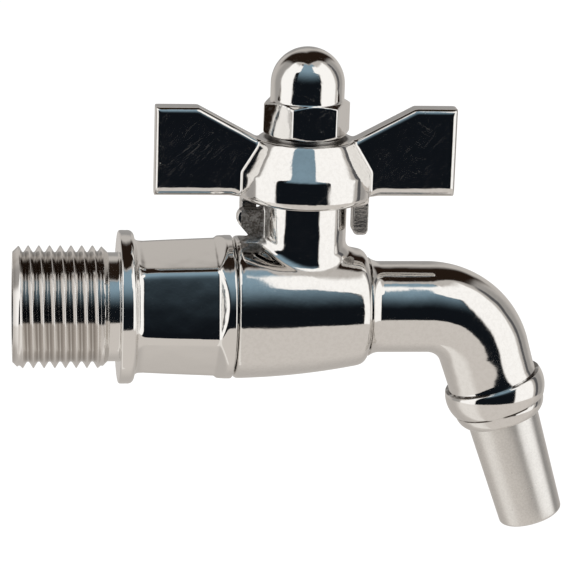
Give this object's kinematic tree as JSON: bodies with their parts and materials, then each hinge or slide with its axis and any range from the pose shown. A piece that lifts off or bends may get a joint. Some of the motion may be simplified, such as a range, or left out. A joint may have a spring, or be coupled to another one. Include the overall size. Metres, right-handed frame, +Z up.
{
  "type": "barrel ball valve",
  "caption": "Polished steel ball valve for a barrel: male pipe thread and flange, hexagon, round body, wing handle under a domed nut, bent spout with a beaded collar and satin nozzle.",
  "frame": {"origin": "on the waterway's axis, at the inboard end of the inlet thread", "axes": "+X the way the water runs, from the thread to the spout, +Z up along the stem, -Y the side seen in the picture"},
  "size_m": [0.0968, 0.0262, 0.085],
  "materials": {
    "polished_steel": "mirror polished stainless steel casting",
    "satin_steel": "satin turned stainless steel",
    "white_seal": "plain white sealing plastic",
    "black_rubber": "plain black rubber"
  },
  "bodies": {
    "valve": {"valve_body": "polished_steel", "inlet_connector": "polished_steel", "spout": "polished_steel", "outlet_nozzle": "satin_steel", "inlet_seat": "white_seal", "outlet_seat": "white_seal", "body_gasket": "white_seal", "thrust_washer": "white_seal", "packing_lower": "white_seal", "packing_middle": "white_seal", "packing_upper": "white_seal", "gland_ring": "satin_steel"},
    "turning_parts": {"handle": "polished_steel", "cap_nut": "polished_steel", "lock_washer": "satin_steel", "stem": "satin_steel", "stem_o_ring": "black_rubber", "gland_nut": "satin_steel", "disc_spring_lower": "satin_steel", "disc_spring_upper": "satin_steel", "ball": "polished_steel"}
  },
  "joints": [
    {"name": "handle_turn", "type": "hinge", "parent": "valve", "child": "turning_parts", "pos_m": [0.0343, 0, 0], "axis": [0, 0, 1], "range_deg": [-90, 0]}
  ]
}
